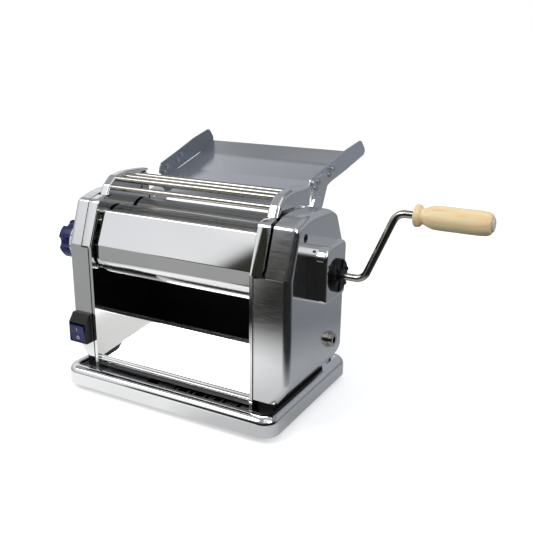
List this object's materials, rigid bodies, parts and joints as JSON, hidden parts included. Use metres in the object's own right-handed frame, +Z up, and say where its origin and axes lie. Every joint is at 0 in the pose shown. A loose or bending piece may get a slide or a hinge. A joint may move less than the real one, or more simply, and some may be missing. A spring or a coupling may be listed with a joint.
{
  "type": "pasta roller machine",
  "caption": "Bench-top pasta sheeter with two steel rollers in a polished case, a thickness knob, a dough hopper, a folding guard, a wooden-gripped crank and a motor drive.",
  "frame": {"origin": "bottom centre of the whole machine's bounding box, on the surface it stands on", "axes": "+X along the rollers towards the crank, +Y from the delivery side to the hopper, +Z up"},
  "size_m": [0.535, 0.3158, 0.3061],
  "materials": {
    "chrome": "polished",
    "polished_plate": "polished edges",
    "rod_chrome": "bright plated",
    "roller_steel": "fine ground",
    "hopper_steel": "satin",
    "steel": "machined",
    "gear_steel": "machined, oiled",
    "block_steel": "machined",
    "grey_steel": "dull grey",
    "motor_paint": "matte black",
    "bronze": "sintered",
    "rubber": "matte",
    "black_plastic": "fine grained",
    "navy_plastic": "glossy",
    "dial_silver": "silver white",
    "light_plastic": "pale grey",
    "beech": "oiled beech"
  },
  "bodies": {
    "housing": {"base_tray": "chrome", "bottom_plate": "grey_steel", "rubber_feet": "rubber", "foot_screws": "steel", "left_side_plate": "polished_plate", "right_side_plate": "polished_plate", "left_casing": "chrome", "right_casing": "chrome", "casing_plinths": "black_plastic", "casing_clips": "steel", "casing_screws": "steel", "tie_rods": "steel", "tie_screws": "steel", "front_cover": "chrome", "delivery_chute": "chrome", "back_panel": "black_plastic", "rear_cover": "chrome", "feed_apron": "chrome", "rear_scraper": "steel", "roller_bushes": "bronze", "index_pin": "navy_plastic", "hopper_lugs": "hopper_steel", "hopper_wing_left": "hopper_steel", "hopper_wing_right": "hopper_steel", "hopper_floor": "hopper_steel", "hopper_screws": "steel", "gearbox_housing": "chrome", "motor": "motor_paint", "motor_cradle": "grey_steel", "drive_belt": "rubber", "switch_housing": "black_plastic", "cable_gland": "rod_chrome", "gland_nut": "steel"},
    "crank": {"crank_shaft": "steel", "crank_pinion": "gear_steel", "coupling_disc": "black_plastic", "crank_rod": "rod_chrome"},
    "grip": {"crank_grip": "beech", "grip_cap": "light_plastic"},
    "rear_roller_body": {"rear_roller": "roller_steel", "rear_roller_gear": "gear_steel", "crank_gear": "gear_steel", "roller_pulley": "grey_steel"},
    "carriage": {"bearing_block_left": "block_steel", "bearing_block_right": "block_steel", "front_scraper": "steel"},
    "front_roller_body": {"front_roller": "roller_steel", "front_roller_gear": "gear_steel"},
    "knob": {"cam_shaft": "steel", "snail_cams": "gear_steel", "knob_skirt": "dial_silver", "knob_grip": "navy_plastic"},
    "guard": {"guard_bracket_left": "chrome", "guard_bracket_right": "chrome", "guard_rods": "rod_chrome", "guard_pins": "steel"},
    "rocker": {"switch_rocker": "navy_plastic"},
    "motor_rotor": {"motor_shaft": "grey_steel"}
  },
  "joints": [
    {"name": "crank_spin", "type": "hinge", "parent": "housing", "child": "crank", "pos_m": [0.1015, -0.0696, 0.183], "axis": [1, 0, 0], "continuous": true},
    {"name": "grip_spin", "type": "hinge", "parent": "crank", "child": "grip", "pos_m": [0.2145, -0.0696, 0.262], "axis": [1, 0, 0], "continuous": true},
    {"name": "rear_roller_spin", "type": "hinge", "parent": "housing", "child": "rear_roller_body", "pos_m": [-0.0855, -0.0346, 0.21], "axis": [1, 0, 0], "continuous": true},
    {"name": "knob_turn", "type": "hinge", "parent": "housing", "child": "knob", "pos_m": [-0.2455, -0.1016, 0.183], "axis": [1, 0, 0], "range_deg": [-118.12, 151.88]},
    {"name": "carriage_slide", "type": "slide", "parent": "housing", "child": "carriage", "axis": [0, 1, 0], "range_m": [-0.00211, 0.00271]},
    {"name": "front_roller_spin", "type": "hinge", "parent": "carriage", "child": "front_roller_body", "pos_m": [-0.0855, -0.0855, 0.21], "axis": [1, 0, 0], "continuous": true},
    {"name": "guard_lift", "type": "hinge", "parent": "housing", "child": "guard", "pos_m": [-0.0855, -0.0276, 0.259], "axis": [-1, 0, 0], "range_deg": [0, 80]},
    {"name": "rocker_tilt", "type": "hinge", "parent": "housing", "child": "rocker", "pos_m": [-0.2195, -0.1456, 0.0756], "axis": [1, 0, 0], "range_deg": [-16, 0]},
    {"name": "motor_spin", "type": "hinge", "parent": "housing", "child": "motor_rotor", "pos_m": [-0.2135, -0.0476, 0.056], "axis": [1, 0, 0], "continuous": true}
  ],
  "couplings": [
    {"joint": "rear_roller_spin", "follows": "crank_spin", "ratio": -0.63889},
    {"joint": "front_roller_spin", "follows": "crank_spin", "ratio": 0.63889},
    {"joint": "motor_spin", "follows": "crank_spin", "ratio": -1.2778},
    {"joint": "carriage_slide", "follows": "knob_turn", "m_per_rad": 0.0010186}
  ]
}
